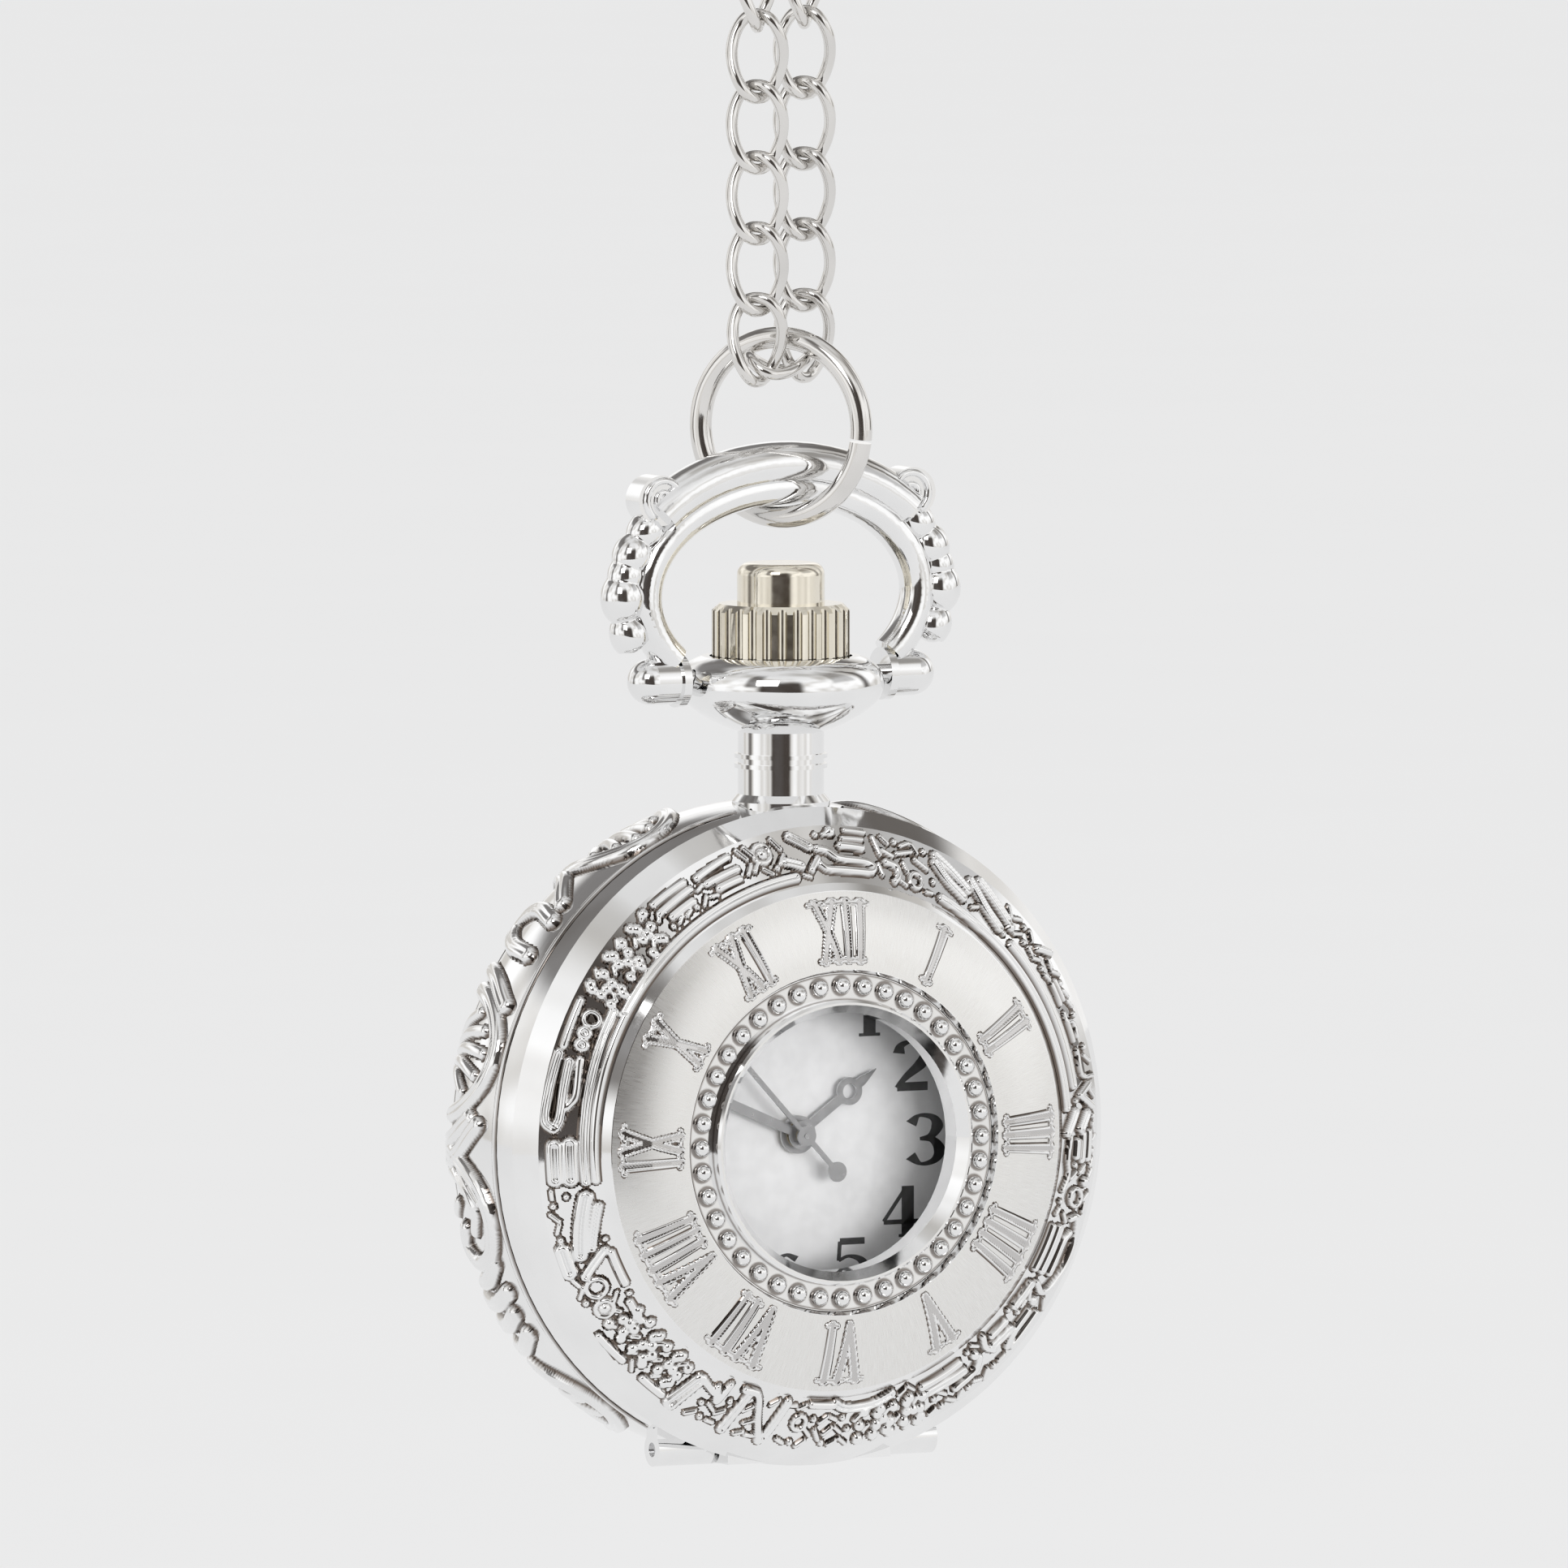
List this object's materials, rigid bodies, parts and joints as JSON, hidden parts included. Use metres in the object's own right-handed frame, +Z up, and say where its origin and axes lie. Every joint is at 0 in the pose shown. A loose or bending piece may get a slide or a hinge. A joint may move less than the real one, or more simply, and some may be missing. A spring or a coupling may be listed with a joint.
{
  "type": "pendant watch",
  "caption": "Pendant watch: round metal case with a hinged windowed lid, crown, swinging bow and jump ring, hung on doubled curb chain from a lobster clasp.",
  "frame": {"origin": "inside top of the clasp's hook, the point from which the watch hangs", "axes": "+Z up along the hanging line, -Y the way the dial faces, +X to the right of the dial"},
  "size_m": [0.0278, 0.0116, 0.0775],
  "materials": {
    "silver": "polished silver-coloured plating",
    "warm_nickel": "polished, slightly warm nickel",
    "hand_metal": "polished grey metal",
    "white_enamel": "smooth white lacquer",
    "glass": "clear mineral glass",
    "steel": "plain steel",
    "brass": "plain brass",
    "copper_wire": "enamelled copper wire",
    "board": "green circuit board",
    "black_plastic": "moulded black plastic",
    "holder_plastic": "moulded white plastic"
  },
  "bodies": {
    "chain": {"clasp_body": "silver", "clasp_pin": "steel", "end_ring": "silver", "chain_top_link": "silver", "chain_left_strand": "silver", "chain_right_strand": "silver", "chain_bottom_link": "silver"},
    "clasp_lever": {"clasp_lever": "silver"},
    "jump_ring": {"jump_ring": "silver"},
    "bow": {"bow": "silver", "bow_pins": "steel"},
    "case": {"case_band": "silver", "case_back": "silver", "pendant": "silver", "hinge_pin": "steel", "movement_holder": "holder_plastic", "main_plate": "black_plastic", "train_bridge": "black_plastic", "battery": "steel", "battery_clip": "steel", "coil": "copper_wire", "coil_bobbin": "steel", "circuit_board": "board", "dial": "white_enamel", "crystal_bezel": "silver", "dial_crystal": "glass"},
    "lid": {"lid": "silver", "window_ring": "silver", "window_glass": "glass"},
    "stem_detent": {"stem_detent": "steel"},
    "crown": {"crown": "warm_nickel", "stem": "steel"},
    "minute_hand": {"minute_hand": "hand_metal", "cannon_pinion": "brass"},
    "hour_hand": {"hour_hand": "hand_metal", "hour_wheel": "brass"},
    "minute_wheel": {"minute_wheel": "brass"},
    "seconds_hand": {"seconds_hand": "hand_metal", "seconds_arbor": "steel"}
  },
  "joints": [
    {"name": "ring_swing", "type": "hinge", "parent": "chain", "child": "jump_ring", "pos_m": [0, 0, -0.02963], "axis": [0.5878, -0.809, 0], "range_deg": [-25, 25]},
    {"name": "bow_on_ring", "type": "hinge", "parent": "jump_ring", "child": "bow", "pos_m": [0, 0, -0.03524], "axis": [1, 0, 0], "range_deg": [-25, 25]},
    {"name": "case_swing", "type": "hinge", "parent": "bow", "child": "case", "pos_m": [0, 0, -0.04364], "axis": [1, 0, 0], "range_deg": [-90, 90]},
    {"name": "lid_hinge", "type": "hinge", "parent": "case", "child": "lid", "pos_m": [0, -0.00095, -0.07559], "axis": [1, 0, 0], "range_deg": [0, 100]},
    {"name": "crown_pull", "type": "slide", "parent": "case", "child": "stem_detent", "axis": [0, 0, 1], "range_m": [0, 0.0008]},
    {"name": "crown_turn", "type": "hinge", "parent": "stem_detent", "child": "crown", "pos_m": [0, 0, -0.05644], "axis": [0, 0, 1], "continuous": true},
    {"name": "minute_turn", "type": "hinge", "parent": "case", "child": "minute_hand", "pos_m": [0, -0.0019, -0.06264], "axis": [0, 1, 0], "continuous": true},
    {"name": "hour_turn", "type": "hinge", "parent": "case", "child": "hour_hand", "pos_m": [0, -0.0015, -0.06264], "axis": [0, 1, 0], "continuous": true},
    {"name": "minute_wheel_turn", "type": "hinge", "parent": "case", "child": "minute_wheel", "pos_m": [-0.0024, 0, -0.06264], "axis": [0, 1, 0], "continuous": true},
    {"name": "seconds_turn", "type": "hinge", "parent": "case", "child": "seconds_hand", "pos_m": [0, -0.0023, -0.06264], "axis": [0, 1, 0], "continuous": true},
    {"name": "clasp_lever_swing", "type": "hinge", "parent": "chain", "child": "clasp_lever", "pos_m": [0.00171, 0.00095, -0.00448], "axis": [0.4848, -0.8746, 0], "range_deg": [0, 25], "stiffness_Nm_per_rad": 0.002, "springref_deg": -17.19}
  ],
  "couplings": [
    {"joint": "hour_turn", "follows": "minute_turn", "ratio": 0.083333},
    {"joint": "minute_wheel_turn", "follows": "minute_turn", "ratio": -0.33333}
  ]
}
